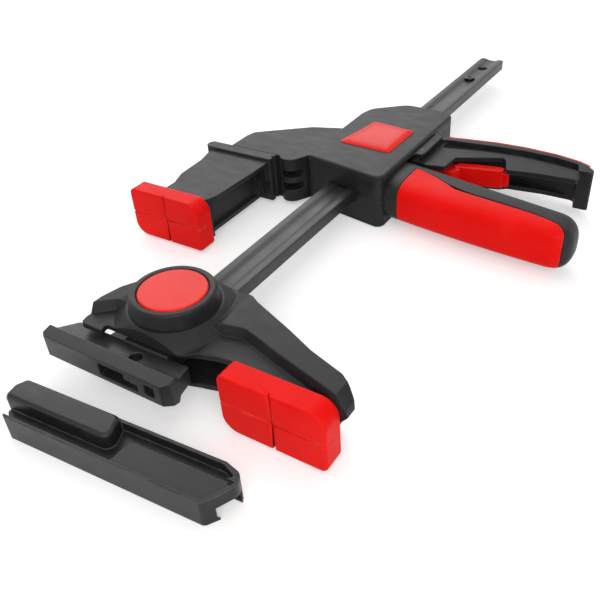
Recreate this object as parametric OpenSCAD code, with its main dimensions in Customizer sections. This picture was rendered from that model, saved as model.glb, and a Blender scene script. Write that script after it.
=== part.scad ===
// One-handed quick release bar clamp with a swivelling head, an end rail and a loose clip strip.
// It lies on its side. +Y runs along the bar, +X towards the handle, and the origin is on the
// swivel axis, on the surface that the clamp lies on. Millimetres.

/* [Bar] */
// Width of the bar
bar_w = 20.5; // [18:0.5:22]
// Thickness of the bar over its rims
bar_t = 7.5; // [6.5:0.25:9]
// Length of the bar beyond the swivel axis
bar_reach = 425; // [400:1:600]
// Length of the bar on the near side of the swivel axis
bar_tail = 21; // [19:0.5:22]
// Width of the dished groove along each wide face
groove_w = 13.5; // [12:0.5:14]
// Depth of the dished groove
groove_d = 1.2; // [0.6:0.1:1.5]
// Bore near the free end, for a stop screw or a hanging hook
end_hole_d = 8; // [5:0.25:9]
// Distance of that bore from the free end
end_hole_inset = 23; // [12:1:30]
// Diameter of the stop pin's heads
stop_head_d = 8.4; // [7:0.2:10]
// Distance of the stop pin from the free end
stop_pin_inset = 52.5; // [40:0.5:80]

/* [Layout] */
// Height of the bar's mid-plane over the surface
mid_z = 17.75; // [17:0.25:20]
// Distance from the bar's centre line to the middle of each pad
throat = 75.4; // [70:0.2:95]
// Place of the carriage along the bar, at the right end of its front edge
carriage_y = 155; // [120:1:230]
// Radial clearance of running pins
pin_gap = 0.05; // [0.03:0.01:0.1]
// Clearance round the bar in each sliding piece
bar_gap = 0.3; // [0.2:0.05:0.5]

/* [Pads] */
// Width of each pad
pad_w = 54.2; // [50:0.2:60]
// Height of each pad
pad_h = 31.6; // [29:0.1:32.5]
// Thickness of each pad
pad_t = 12; // [10:0.5:14]
// Radius of two opposite corners of the clamping face
pad_corner = 8.5; // [5:0.5:11]
// Radius of its other two corners
pad_small_corner = 3.3; // [2:0.1:5]
// Depth of the pocket that holds the pad on its arm
pad_pocket = 4.2; // [3:0.1:6]

/* [Swivel head] */
// Height of the head at its thick back
head_h = 31.7; // [30:0.1:33]
// Drop from the thick back to the lower flats
head_step = 5.1; // [3:0.1:6]
// Open height between the two shells, where the bar and the rail swing
swivel_gap = 15.5; // [15:0.1:16.5]
// Radius about the axis that this opening reaches
swivel_reach = 50; // [49:0.5:52]
// Diameter of the swivel pin
pin_d = 8; // [6:0.5:9]
// Diameter of the knob ring at its foot
knob_d = 44.6; // [42:0.2:48]
// Diameter of the knob ring at its rim
knob_rim_d = 41.6; // [39:0.2:42]
// Height of the knob ring over the head's back
knob_h = 7.9; // [6:0.1:10]
// Diameter of the press button
button_d = 34.4; // [30:0.2:36]
// Travel of the press button
button_travel = 3; // [2:0.25:3.5]

/* [End rail] */
// Reach of the rail to the long side
rail_left = 52.5; // [45:0.5:60]
// Reach of the rail to the short side
rail_right = 28; // [24:0.5:28]
// Distance of the rail's front face from the swivel axis
rail_front = 42; // [41:0.5:44]
// Height of the rail's front face
rail_h = 11.9; // [10:0.1:13]
// Height of the rail's web
web_h = 9.3; // [9:0.1:10]
// Bore through the rail's web
web_hole_d = 6.4; // [4:0.1:7]

/* [Carriage] */
// Width of the housing
body_w = 61; // [60:0.5:66]
// Height of the housing between its covers
body_h = 30.5; // [29:0.5:33]
// Length of the housing
body_len = 112; // [108:1:130]
// How much further back the front edge starts on the jaw side
front_skew = 9.5; // [4:0.5:14]
// Thickness of each cover
cover_t = 2.5; // [1.5:0.1:3]
// Thickness of the housing's top and bottom walls
wall = 2.7; // [2:0.1:3.2]

/* [Mechanism] */
// Diameter of the lever pin
lever_pin_d = 4; // [3:0.25:5]
// Distance of the lever pin from the bar's centre line
pivot_x = 33; // [32.5:0.25:33.5]
// Thickness of the two gripping plates
plate_t = 3; // [2:0.25:3.5]
// Squeeze angle of the lever
squeeze_deg = 14; // [8:1:14]
// Pull angle of the release lever
release_deg = 5; // [3:0.5:5]

/* [Handle and levers] */
// Length of the handle outside the housing
handle_len = 116.5; // [105:0.5:130]
// Height of the handle
handle_h = 27; // [24:0.5:29]
// Thickness of the soft grip
grip_t = 3; // [2:0.25:4]
// Height of the squeeze lever
lever_h = 25.5; // [22:0.5:25.5]
// Thickness of the squeeze lever's plates
lever_wall = 3; // [2:0.25:4]
// Height of the release lever
release_h = 12; // [10:0.5:14]

/* [Clip strip] */
// Length of the strip
strip_len = 118; // [105:1:125]
// Width of the strip
strip_w = 22; // [20:0.5:24]
// Height of the strip over its rim
strip_h = 14; // [12.5:0.25:16]
// Height of the raised block
block_h = 17; // [16:0.25:19]
// Length of the raised block
block_len = 58; // [45:1:65]
// Width of the channel underneath
channel_w = 12.5; // [11:0.25:14]
// Depth of the channel underneath
channel_d = 7.5; // [6:0.25:8]
// Corner of the strip, as it lies beside the clamp
strip_at = [-36, -83.2];
// Angle at which it lies
strip_turn = 3.6; // [0:0.1:6]

/* [Hidden] */

black = "#3b3b3e";
steel = "#55565a";
bright = "#9a9ca0";
red = "#d8281f";
soft_red = "#e0503f";

// Bar
bar_top = mid_z + bar_t / 2;
groove_floor = bar_top - groove_d;
groove_slope = 1.6;
end_hole_y = bar_reach - end_hole_inset;
stop_pin_y = bar_reach - stop_pin_inset;
stop_pin_d = 5;
stop_head_h = groove_d + 1.4;
bar_edge = 0.6;

// Head
head_top = mid_z + head_h / 2;
flat_top = head_top - head_step;
gap_top = mid_z + swivel_gap / 2;
knob_top = head_top + knob_h;
tenon_w = 30;
pad_drop = 0.6;
tenon_h = 18;
tenon_gap = 0.2;
near_face = 19.2;
stem_d = 16;
disc_t = 2.5;
stem_z = head_top - 0.4;
pin_top = head_top + 2.4;
clip_z = flat_top + 0.2;
clip_t = 1;
head_screw_at = [[throat - 18, -4], [throat, -8], [throat + 13, -13]];
arm_tip = throat + pad_w / 2 + 3.5;
pad_near_end = throat - pad_w / 2;
crease_x = 30;
valley_x = 19;
hub_left = 26;
collar_r = knob_d / 2 + 1.4;
collar_slope = 8;
ramp_drop = 1.3;

// Rail
rail_back = 24;
ridge_y = rail_front - 7;
ridge_h = rail_h + 3;
tongue_w = bar_w + 6.5;
tongue_h = bar_t + 3.5;
tongue_end = 12;
rail_pin_d = 4;
rail_pin_at = [[-bar_w / 4, -17], [bar_w / 4, -17]];

// Carriage, in its own frame: y = 0 at the right end of its front edge
half_w = body_w / 2;
body_top = mid_z + body_h / 2;
cover_top = body_top + cover_t;
jaw_x = -throat;
pad_shift = 4.2;
collar_back = 5.2;
collar_t = 8.5;
block_front = -63;
block_h_half = 13.25;
cavity_half = body_h / 2 - wall;
cavity_w = 42;
cavity_front = 27;
cavity_back = 82;
pivot_y = 52;
nose_r = 3;
nose_arm = 19;
nose_x = pivot_x - nose_arm;
contact_gap = 0.3;
drive_front = pivot_y - 1 + nose_r + contact_gap;
release_nose_r = 2.5;
release_nose = [pivot_x - 18, pivot_y - 19];
plate_left = -17;
plate_right = 19;
brake_arm = release_nose[0] - plate_left;
brake_deg = release_deg * 18 / brake_arm;
brake_y = release_nose[1] + release_nose_r + contact_gap + plate_t / 2 + brake_arm * sin(brake_deg);
corner_r = norm([bar_w, bar_t]) / 2;
drive_wire = min(1.2, cavity_half - corner_r - 0.3);
brake_spring_x = 6;
brake_spring_from = brake_y - (brake_spring_x - plate_left) * sin(brake_deg) + plate_t / 2 + 0.1;
brake_rib_y = 46;
body_screw_at = [[-21, 18], [21, 14], [-21, 92], [21, 96]];
ear_t = (body_h - lever_h) / 2 - 0.4;
cap_front = 69.4;
panel_drop = 2.2;
end_len = 15;
end_power = 2.3;
badge_outline = [[-19.4, 35.4, 2.5], [18.9, 32.9, 2.5], [19.1, 70.5, 2.5], [-13, 74.6, 2.5]];

// Outlines

function unit(v) = v / norm(v);
function flat(p) = [p[0], p[1]];

// Arc of radius r that rounds the corner b between a and c
function corner(a, b, c, r, steps) =
    let (u = unit(a - b), v = unit(c - b), half = acos(u * v) / 2,
        start = b + u * r / tan(half), stop = b + v * r / tan(half),
        centre = b + unit(u + v) * r / sin(half),
        from = atan2(start[1] - centre[1], start[0] - centre[0]),
        turn = atan2(stop[1] - centre[1], stop[0] - centre[0]) - from,
        sweep = turn > 180 ? turn - 360 : turn < -180 ? turn + 360 : turn)
    [for (i = [0 : steps]) let (t = from + sweep * i / steps) centre + r * [cos(t), sin(t)]];

// Outline from points [x, y] or [x, y, corner radius], in counter-clockwise order
function rounded(pts, steps = 5) = [for (i = [0 : len(pts) - 1])
    let (a = pts[(i + len(pts) - 1) % len(pts)], b = pts[i], c = pts[(i + 1) % len(pts)])
    each len(b) > 2 ? corner(flat(a), flat(b), flat(c), b[2], steps) : [b]];

function outward(a, b) = unit([b[1] - a[1], a[0] - b[0]]);

// The same outline moved outwards by d, or inwards when d is negative, with its corner radii to match
function grown(pts, d) = [for (i = [0 : len(pts) - 1])
    let (a = flat(pts[(i + len(pts) - 1) % len(pts)]), b = flat(pts[i]), c = flat(pts[(i + 1) % len(pts)]),
        m = outward(a, b), n = outward(b, c), p = b + d * (m + n) / (1 + m * n),
        convex = m[0] * n[1] - m[1] * n[0] > 0)
    len(pts[i]) > 2 ? [p[0], p[1], max(0.2, pts[i][2] + (convex ? d : -d))] : p];

function ring(pts, z) = [for (p = pts) [p[0], p[1], z]];

module slab(pts, z0, z1) {
    translate([0, 0, z0]) linear_extrude(z1 - z0) polygon(rounded(pts));
}

// Solid through rings of equal length, each counter-clockwise about the direction of travel
module loft(rings) {
    n = len(rings[0]);
    last = (len(rings) - 1) * n;
    sides = [for (i = [0 : n : last - n], j = [0 : n - 1]) let (k = (j + 1) % n)
        each [[i + j, i + n + j, i + n + k], [i + j, i + n + k, i + k]]];
    polyhedron([for (r = rings) each r],
        concat(sides, [[for (j = [0 : n - 1]) j], [for (j = [n - 1 : -1 : 0]) last + j]]));
}

// Slab whose upper edge is bevelled by the given height and inset
module bevelled_slab(pts, z0, z1, bevel, inset) {
    outline = rounded(pts);
    loft([ring(outline, z0), ring(outline, z1 - bevel), ring(rounded(grown(pts, -inset)), z1)]);
}

module box(low, high) {
    translate(low) cube(high - low);
}

module drill(at, d, z0, z1) {
    translate([at[0], at[1], z0]) cylinder(d = d, h = z1 - z0, $fn = d > 20 ? 128 : 48);
}

// Copy below the bar's mid-plane
module below() {
    translate([0, 0, 2 * mid_z]) mirror([0, 0, 1]) children();
}

module on_carriage() {
    translate([0, carriage_y, 0]) children();
}

// Rounded rectangle in the plane across X, from y0 to y1 and z0 to z1, extruded from x0 to x1
module side_pocket(x0, x1, y0, y1, z0, z1, r) {
    translate([x0, 0, 0]) rotate([90, 0, 90]) linear_extrude(x1 - x0)
        polygon(rounded([[y0, z0, r], [y1, z0, r], [y1, z1, r], [y0, z1, r]]));
}

// Coil of round wire along +Y from the origin, as one unbroken tube
module coil(length, mean_r, wire, turns) {
    per_turn = 12;
    count = turns * per_turn;
    tube = 6;
    rise = (length - wire) / count;
    rings = [for (i = [0 : count]) let (t = 360 * i / per_turn)
        [for (j = [0 : tube - 1]) let (q = 360 * j / tube, r = mean_r + wire / 2 * cos(q))
            [r * cos(t), wire / 2 + rise * i - wire / 2 * sin(q), -r * sin(t)]]];
    loft(rings);
}

// Bar

module bar_section() {
    w = bar_w / 2;
    h = bar_t / 2;
    g = groove_w / 2;
    e = bar_edge;
    quarter = [[g - groove_slope, h - groove_d], [g, h], [w - e, h], [w, h - e]];
    half = concat([for (i = [3 : -1 : 0]) quarter[i]], [for (p = quarter) [-p[0], p[1]]]);
    polygon(concat(half, [for (p = half) -p]));
}

module bar() {
    color(steel) difference() {
        intersection() {
            translate([0, bar_reach, mid_z]) rotate([90, 0, 0])
                linear_extrude(bar_reach + bar_tail) bar_section();
            slab([[-bar_w / 2, -bar_tail], [bar_w / 2, -bar_tail], [bar_w / 2, bar_reach, 2],
                [-bar_w / 2, bar_reach, 2]], mid_z - bar_t, mid_z + bar_t);
        }
        drill([0, 0], pin_d, 0, 2 * mid_z);
        drill([0, end_hole_y], end_hole_d, 0, 2 * mid_z);
        drill([0, stop_pin_y], stop_pin_d, 0, 2 * mid_z);
        for (at = rail_pin_at) drill(at, rail_pin_d, 0, 2 * mid_z);
    }
}

module bar_stop_pin() {
    floor_half = groove_floor - mid_z;
    head_half = floor_half + stop_head_h;
    dimple = 1.2;
    color(bright) translate([0, stop_pin_y, mid_z]) rotate_extrude($fn = 48) polygon([
        [0, dimple - head_half], [1.6, dimple - head_half], [1.6, -head_half],
        [stop_head_d / 2 - 0.6, -head_half], [stop_head_d / 2, 0.6 - head_half],
        [stop_head_d / 2, -floor_half], [stop_pin_d / 2, -floor_half],
        [stop_pin_d / 2, floor_half], [stop_head_d / 2, floor_half],
        [stop_head_d / 2, head_half - 0.6], [stop_head_d / 2 - 0.6, head_half],
        [1.6, head_half], [1.6, head_half - dimple], [0, head_half - dimple]]);
}

// End rail

// Half of the rail's section above the mid-plane, from its front face to its back
function rail_edge() = [[-rail_front, rail_h / 2], [-ridge_y, ridge_h / 2], [1.7 - ridge_y, web_h / 2 + 0.1],
    [3.2 - ridge_y, web_h / 2], [-rail_back, web_h / 2]];

module end_rail() {
    upper = rail_edge();
    n = len(upper);
    color(black) difference() {
        union() {
            intersection() {
                translate([-rail_left, 0, mid_z]) rotate([90, 0, 90])
                    linear_extrude(rail_left + rail_right)
                    polygon(concat([for (p = upper) [p[0], -p[1]]], [for (i = [n - 1 : -1 : 0]) upper[i]]));
                slab([[-rail_left, 2 - rail_front, 1], [2.5 - rail_left, -rail_front, 1],
                    [rail_right - 3.5, -rail_front, 1], [rail_right, 3.5 - rail_front, 1],
                    [rail_right, -ridge_y], [rail_right - 2, -rail_back], [9 - rail_left, -rail_back],
                    [-rail_left, -ridge_y]], 0, 2 * mid_z);
            }
            box([-tongue_w / 2, -rail_back - 0.5, mid_z - tongue_h / 2],
                [tongue_w / 2, -tongue_end, mid_z + tongue_h / 2]);
        }
        box([-bar_w / 2, -bar_tail, mid_z - bar_t / 2], [bar_w / 2, 0, mid_z + bar_t / 2]);
        for (at = rail_pin_at) drill(at, rail_pin_d, 0, 2 * mid_z);
        drill([0, 3.5 - ridge_y + 0.9], web_hole_d, 0, 2 * mid_z);
        // Stepped pocket and square pocket in the front face
        box([-14, -rail_front - 1, mid_z - 3.6], [2, -ridge_y - 0.5, mid_z + 3.8]);
        box([1.9, -rail_front - 1, mid_z - 3.6], [10, 3 - rail_front, mid_z + 0.6]);
        box([14.3, -rail_front - 1, mid_z - 3], [20.3, 4 - rail_front, mid_z + 3]);
    }
}

module rail_pins() {
    color(bright) for (at = rail_pin_at)
        drill(at, rail_pin_d, mid_z - tongue_h / 2, mid_z + tongue_h / 2);
}

// Swivel

module swivel_pin() {
    foot = mid_z - head_h / 2 + 1.6;
    r = pin_d / 2;
    color(bright) rotate_extrude($fn = 48) polygon([[0, foot], [r, foot], [r, clip_z], [r - 0.8, clip_z],
        [r - 0.8, clip_z + clip_t], [r, clip_z + clip_t], [r, pin_top - 0.8], [r - 0.8, pin_top],
        [0, pin_top]]);
}

module swivel_washers() {
    gap = 0.1;
    color(bright) for (side = [-1, 1]) translate([0, 0, mid_z + side * (bar_t / 2 + swivel_gap / 2) / 2])
        difference() {
            cylinder(r = 9, h = (swivel_gap - bar_t) / 2 - gap, center = true, $fn = 64);
            cylinder(r = pin_d / 2 + pin_gap, h = swivel_gap, center = true, $fn = 48);
        }
}

module swivel_clip() {
    color(bright) translate([0, 0, clip_z + 0.05]) difference() {
        cylinder(d = pin_d + 4, h = clip_t - 0.1, $fn = 48);
        cylinder(r = pin_d / 2 - 0.75, h = 4 * clip_t, center = true, $fn = 48);
        box([-1.6, -pin_d, -1], [1.6, 0, 2]);
    }
}

// Head: hub, left wing and the arm that carries the near pad

function head_outline() = [
    [-36, -28.9, 2], [-22.5, -28.9], [-23.5, -24.5, 1], [20, -24.5, 1], [28.9, -20.3, 2],
    [39.2, -17.6], [pad_near_end, -16.6, 2], [pad_near_end + 1, -near_face], [arm_tip + 1, -near_face],
    [arm_tip - 0.2, -12.5, 5], [arm_tip - 10.5, -5.2, 8], [76.2, 1.3], [60.5, 8.6], [34.9, 19.4, 6], [27, 24, 8],
    [14, 28.5, 8], [-12, 27, 10], [-26.5, 10, 14], [-33.6, -2, 14], [-36.4, -13, 14], [-37, -24.5, 3]];

// Outline of the lower flats, in front of the thick back
function front_outline() = [
    [-44, -60], [arm_tip + 6, -60], [arm_tip + 6, -22], [78, -12.2], [62, -7.6], [47, -2.6, 5],
    [41.5, -1.1, 8], [34, -2.7, 4], [18, -6], [-23, -10.8], [-28, -12.4, 4], [-32.8, -16.4, 4],
    [-44, -27]];

module head_plan(z0, z1) {
    slab(head_outline(), z0, z1);
}

// Solid along Y through the outline pts of [x, z] points
module across(pts, y0, y1) {
    translate([0, y1, 0]) rotate([90, 0, 0]) linear_extrude(y1 - y0) polygon(rounded(pts));
}

// Upper half of the head, without the parts that are its own
module head_half() {
    lean = 1;
    over = rounded(grown(front_outline(), lean));
    difference() {
        union() {
            difference() {
                head_plan(mid_z, head_top);
                // Lower flats, up to the leaning front of the thick back
                loft([ring(rounded(grown(front_outline(), -lean)), flat_top), ring(over, head_top),
                    ring(over, head_top + 1)]);
                // Valley between the hub and the arm
                across([[crease_x, head_top], [valley_x, flat_top], [-12, flat_top],
                    [-hub_left, head_top], [-hub_left, head_top + 5], [crease_x, head_top + 5]], -30, 40);
                across([[crease_x, flat_top], [crease_x - 7, flat_top - ramp_drop], [-12, flat_top - ramp_drop],
                    [-12, flat_top + 5], [crease_x, flat_top + 5]], -30, -12);
                cylinder(r = swivel_reach, h = gap_top, $fn = 96);
            }
            // Collar that slopes away from the knob
            intersection() {
                rotate_extrude($fn = 96) polygon([[0, gap_top], [collar_r + collar_slope, gap_top],
                    [collar_r + collar_slope, flat_top - ramp_drop], [collar_r, head_top], [0, head_top]]);
                head_plan(gap_top - 1, head_top + 1);
            }
            // Tenon for the pad
            box([throat - tenon_w / 2, 0.2 - near_face - pad_pocket, mid_z],
                [throat + tenon_w / 2, 1 - near_face, mid_z + tenon_h / 2]);
        }
        // Recess under the front edge, over the rail's web
        box([-23.5, -26, 0], [20, -16, flat_top - 2.6]);
    }
}

// Space taken by the arm, whose tip is rounded and drawn in below
module tip_shape() {
    across([[-60, -1], [arm_tip - 14, -1], [arm_tip - 4.6, mid_z + 1.7, 8], [arm_tip, mid_z + 7.2, 1.5],
        [arm_tip - 0.9, flat_top, 3], [arm_tip - 4.2, head_top - 1.2, 3], [arm_tip - 8, head_top + 1],
        [-60, head_top + 1]], -50, 50);
}

module head_screw_holes(d) {
    for (at = head_screw_at) drill(at, d, 0, 2 * mid_z + 4);
}

module head_upper_shell() {
    color(black) difference() {
        intersection() {
            head_half();
            tip_shape();
        }
        drill([0, 0], pin_d + 2 * pin_gap, mid_z, 2 * mid_z);
        drill([0, 0], knob_d, flat_top, head_top + 1);
        for (at = head_screw_at) drill(at, 3, mid_z - 1, mid_z + 9);
    }
}

module head_lower_shell() {
    foot_z = mid_z - head_h / 2;
    color(black) difference() {
        union() {
            intersection() {
                below() head_half();
                tip_shape();
            }
            // Round foot that the head rests on
            rotate_extrude($fn = 96) polygon([[0, 0], [19, 0], [20, 1], [20, foot_z + head_step],
                [0, foot_z + head_step]]);
        }
        drill([0, 0], pin_d + 2 * pin_gap, foot_z + 1.6, mid_z);
        for (at = head_screw_at) drill(at, 3.3, -1, mid_z + 1);
        for (at = head_screw_at) drill(at, 6.4, -1, foot_z + head_step + 3);
    }
}

module screws(places, head_z, head_h, tip_z) {
    for (at = places) {
        difference() {
            drill(at, 6, head_z - head_h, head_z);
            translate([at[0], at[1], head_z - head_h - 0.1]) cylinder(d = 2.6, h = 1.3, $fn = 6);
        }
        drill(at, 3, head_z - 0.01, tip_z);
    }
}

module head_screws() {
    color(bright) screws(head_screw_at, mid_z - head_h / 2 + head_step + 3, 2.4, mid_z + 8.5);
}

module knob_ring() {
    foot_r = knob_d / 2;
    rim_r = knob_rim_d / 2;
    inner_r = button_d / 2 + 0.3;
    color(black) rotate_extrude($fn = 128) polygon([
        [stem_d / 2 + 0.3, flat_top], [foot_r, flat_top], [foot_r, head_top], [rim_r + 0.3, knob_top - 0.8],
        [rim_r - 0.5, knob_top], [inner_r + 0.5, knob_top], [inner_r, knob_top - 0.5],
        [inner_r, head_top - 0.5], [stem_d / 2 + 0.3, head_top - 0.5]]);
}

module swivel_button() {
    top = knob_top + 0.2;
    r = button_d / 2;
    color(soft_red) difference() {
        rotate_extrude($fn = 128) polygon([[0, stem_z], [stem_d / 2, stem_z],
            [stem_d / 2, top - disc_t], [r, top - disc_t], [r, top - 0.6], [r - 0.6, top], [0, top]]);
        // Socket that slides on the pin
        drill([0, 0], pin_d + 2 * pin_gap, stem_z - 1, pin_top + button_travel + 0.3);
    }
}

module button_spring() {
    from = head_top - 0.5;
    color(bright) translate([0, 0, from + 0.05]) rotate([90, 0, 0])
        coil(knob_top + 0.2 - disc_t - from - 0.1, stem_d / 2 + 3, 1, 2.5);
}

// Pads

// Pad with its clamping face towards -Y, its back on y = 0, and its middle on the origin
module pad() {
    w = pad_w / 2;
    h = pad_h / 2;
    edge = 0.9;
    vee = 1.7;
    vee_depth = 1.3;
    line_w = 1;
    color(red) difference() {
        intersection() {
            slab([[1.2 - w, -pad_t], [w - 1.2, -pad_t], [w - 0.4, edge - pad_t, 0.5], [w, -3], [w - 1.6, 0],
                [1.6 - w, 0], [-w, -3], [0.4 - w, edge - pad_t, 0.5]], -h, h);
            rotate([90, 0, 0]) linear_extrude(pad_t) polygon(rounded([[-w, -h, pad_corner],
                [w, -h, pad_small_corner], [w, h, pad_corner], [-w, h, pad_small_corner]], 8));
            translate([-w, 0, 0]) rotate([90, 0, 90]) linear_extrude(pad_w)
                polygon([[-pad_t, edge - h], [edge - pad_t, -h], [0, -h], [0, h], [edge - pad_t, h],
                    [-pad_t, h - edge]]);
        }
        // Cross-shaped grooves of the clamping face
        slab([[-vee, -pad_t - 0.01], [vee, -pad_t - 0.01], [0, vee_depth - pad_t]], -h - 1, h + 1);
        box([-w - 1, -pad_t - 1, -line_w / 2], [w + 1, 0.9 - pad_t, line_w / 2]);
        for (side = [-1, 1]) box([side * w - 0.9, -pad_t - 1, -line_w / 2], [side * w + 0.9, -7, line_w / 2]);
        // Pocket for the arm's tenon
        box([-tenon_w / 2 - tenon_gap, -pad_pocket, -tenon_h / 2 - tenon_gap + pad_drop],
            [tenon_w / 2 + tenon_gap, 1, tenon_h / 2 + tenon_gap + pad_drop]);
    }
}

module near_pad() {
    translate([throat, -near_face, mid_z - pad_drop]) pad();
}

module far_pad() {
    on_carriage() translate([jaw_x - pad_shift, block_front, mid_z - pad_drop]) pad();
}

// Carriage housing and its jaw arm

function body_outline() = [
    [2 - half_w, front_skew, 4], [half_w, -1, 5], [half_w, body_len - 5, 4], [half_w - 8, body_len, 4],
    [-6.5, body_len + 1, 12], [3 - half_w, body_len - 16, 10], [0.7 - half_w, body_len - 26, 2]];

function arm_outline() = [
    [-half_w / 2, 20], [-half_w / 2, 64], [-half_w - 2.5, 60.5, 10], [-52, 54, 14], [jaw_x - 9.4, 29.3, 7],
    [jaw_x - 10.8, 22, 4], [jaw_x - 10.8, collar_back], [jaw_x + 28, collar_back, 2], [jaw_x + 33, 0.4, 6],
    [-half_w - 5, 2.6, 8], [1 - half_w, front_skew + 4]];

function ear_outline() = [
    [half_w - 3, pivot_y - 7.5], [pivot_x + 3.9, pivot_y - 6.5, 2.5], [pivot_x + 3.9, pivot_y + 25, 1.5],
    [half_w - 3, pivot_y + 27]];

module body_half() {
    difference() {
        union() {
            slab(body_outline(), mid_z, body_top);
            slab([for (i = [len(arm_outline()) - 1 : -1 : 0]) arm_outline()[i]], mid_z, body_top);
            slab(ear_outline(), body_top - ear_t, body_top);
            // Tenon for the jaw's extension
            box([jaw_x - 9, collar_back - 4, mid_z], [jaw_x + 14, collar_back + 1, mid_z + 11]);
        }
        // Passage for the bar
        box([-bar_w / 2 - bar_gap, -20, 0], [bar_w / 2 + bar_gap, body_len + 20, mid_z + bar_t / 2 + bar_gap]);
        // Room for the gripping plates and the levers' noses
        box([-cavity_w / 2, cavity_front, 0], [cavity_w / 2, cavity_back, mid_z + cavity_half]);
        box([cavity_w / 2 - 1, cavity_front + 2.5, 0],
            [half_w + 2, pivot_y + 10, mid_z + lever_h / 2 + 0.3]);
        // Seat of the handle's tongue
        box([half_w - 7, 6, 0], [half_w + 2, 25, mid_z + 11]);
        // Slot in the arm's hollow inner wall
        side_pocket(jaw_x + 31, 1 - half_w, -4, 10, mid_z + 1.8, mid_z + 7, 1);
        drill([pivot_x, pivot_y], lever_pin_d, 0, 3 * mid_z);
    }
}

module body_upper_shell() {
    color(black) on_carriage() difference() {
        body_half();
        for (at = body_screw_at) drill(at, 3, mid_z - 1, mid_z + 9);
    }
}

module body_lower_shell() {
    seat = mid_z - body_h / 2;
    color(black) on_carriage() union() {
        difference() {
            below() body_half();
            for (at = body_screw_at) drill(at, 3.3, 0, mid_z + 1);
            for (at = body_screw_at) drill(at, 6.4, 0, seat + 4);
        }
        // Rib that the brake plate's spring pushes on
        box([2, brake_rib_y, seat + wall - 0.1], [10, brake_rib_y + 2, mid_z - bar_t / 2 - 1.5]);
    }
}

module body_screws() {
    color(bright) on_carriage() screws(body_screw_at, mid_z - body_h / 2 + 4, 2.4, mid_z + 8.5);
}

module cover() {
    bevelled_slab(body_outline(), body_top, cover_top, 0.9, 1.1);
}

module top_cover() {
    color(black) on_carriage() cover();
}

module bottom_cover() {
    color(black) on_carriage() below() cover();
}

module badge() {
    color(red) on_carriage() bevelled_slab(badge_outline, cover_top, cover_top + 1, 0.6, 1.6);
}

// Extension block that carries the far pad

function block_outline() = [
    [jaw_x - 13.7, block_front], [jaw_x + 20, block_front, 2], [jaw_x + 22.8, block_front + 7, 8],
    [jaw_x + 24.5, -20], [jaw_x + 24.5, collar_back - collar_t], [jaw_x - 23, collar_back - collar_t, 2],
    [jaw_x - 18.8, -19, 8], [jaw_x - 17.6, -41.5, 8],
    [jaw_x - 13.4, -53, 5]];

module pad_extension() {
    front = collar_back - collar_t;
    color(black) on_carriage() difference() {
        union() {
            slab(block_outline(), mid_z - block_h_half, mid_z + block_h_half);
            slab([[jaw_x - 28.1, front + 2.5, 2], [jaw_x - 25.5, front, 1.5], [jaw_x + 26, front, 1],
                [jaw_x + 26, collar_back, 0.6], [jaw_x - 26, collar_back, 1.5],
                [jaw_x - 28.1, collar_back - 2.5, 1.5]],
                mid_z - 15, mid_z + 15.2);
            box([jaw_x - pad_shift - tenon_w / 2, block_front - pad_pocket + 0.2, mid_z - tenon_h / 2],
                [jaw_x - pad_shift + tenon_w / 2, block_front + 1, mid_z + tenon_h / 2]);
        }
        // Deep panels of the I-shaped section, on both sides
        side_pocket(jaw_x + 15, jaw_x + 40, block_front + 5, front - 3, mid_z - 10, mid_z + 10.6, 3);
        side_pocket(jaw_x - 40, jaw_x - 8, block_front + 5, front - 4, mid_z - 10, mid_z + 10.6, 3);
        // The lower flange is narrower on this side
        box([jaw_x + 17.5, block_front + 3, 0], [jaw_x + 40, collar_back - collar_t, mid_z]);
        // Groove down the collar's end
        slab([[jaw_x + 26.5, 0.2], [jaw_x + 26.5, 3.4], [jaw_x + 23.6, 1.8]], 0, 40);
        // Pocket for the arm's tenon
        box([jaw_x - 9, collar_back - 4, mid_z - 11], [jaw_x + 14, collar_back + 1, mid_z + 11]);
    }
}

// Handle

function handle_front(u) = 3 - 0.176 * u + 0.0007 * u * u;
function handle_back(u) = 43 - 0.222 * u;
// Share of the full section that is left at u, where the end is rounded
function handle_end(u, inset) =
    let (from = handle_len - end_len, span = end_len - inset, t = max(0, (u - from) / span))
    t >= 1 ? 0.02 : max(0.02, pow(1 - pow(t, end_power), 1 / end_power));

// Rounded-box section of the handle at distance u from the housing
function handle_ring(u, inset) =
    let (s = handle_end(u, inset), depth = (handle_back(u) - handle_front(u)) / 2 - inset,
        mid = (handle_back(u) + handle_front(u)) / 2, h = handle_h / 2 - inset, power = 2 / 3.4)
    [for (q = [0 : 15 : 345]) [half_w + u,
        mid + s * depth * sign(cos(q)) * pow(abs(cos(q)), power),
        mid_z + s * h * sign(sin(q)) * pow(abs(sin(q)), power)]];

module handle_solid(inset) {
    from = handle_len - end_len;
    span = end_len - inset;
    stations = concat([for (i = [0 : 6]) from * i / 6],
        [for (t = [15, 30, 45, 60, 72, 83, 90]) from + span * sin(t)]);
    loft([for (u = stations) handle_ring(u, inset)]);
}

// Plan of the soft grip: the front of the handle, up to the curved line on its top
module grip_region() {
    slab([[half_w + 6.5, -25], [half_w + 113, -25], [half_w + 113, -8], [half_w + 110.5, -1.5, 6],
        [half_w + 103, 3, 8], [half_w + 88.8, 6.9], [half_w + 70.5, 10.5], [half_w + 52, 12.8, 10],
        [half_w + 37.7, 17.5, 10], [half_w + 24, 25, 8], [half_w + 13.7, 29.5, 6], [half_w + 5.5, 31, 2]], -10, 50);
}

module handle_core() {
    color(black) on_carriage() union() {
        difference() {
            handle_solid(0);
            grip_region();
        }
        handle_solid(grip_t);
        box([half_w - 7, 6, mid_z - 11], [half_w + 2, 25, mid_z + 11]);
    }
}

module handle_grip() {
    color(red) on_carriage() difference() {
        intersection() {
            handle_solid(0);
            grip_region();
        }
        handle_solid(grip_t);
    }
}

// Levers

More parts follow.
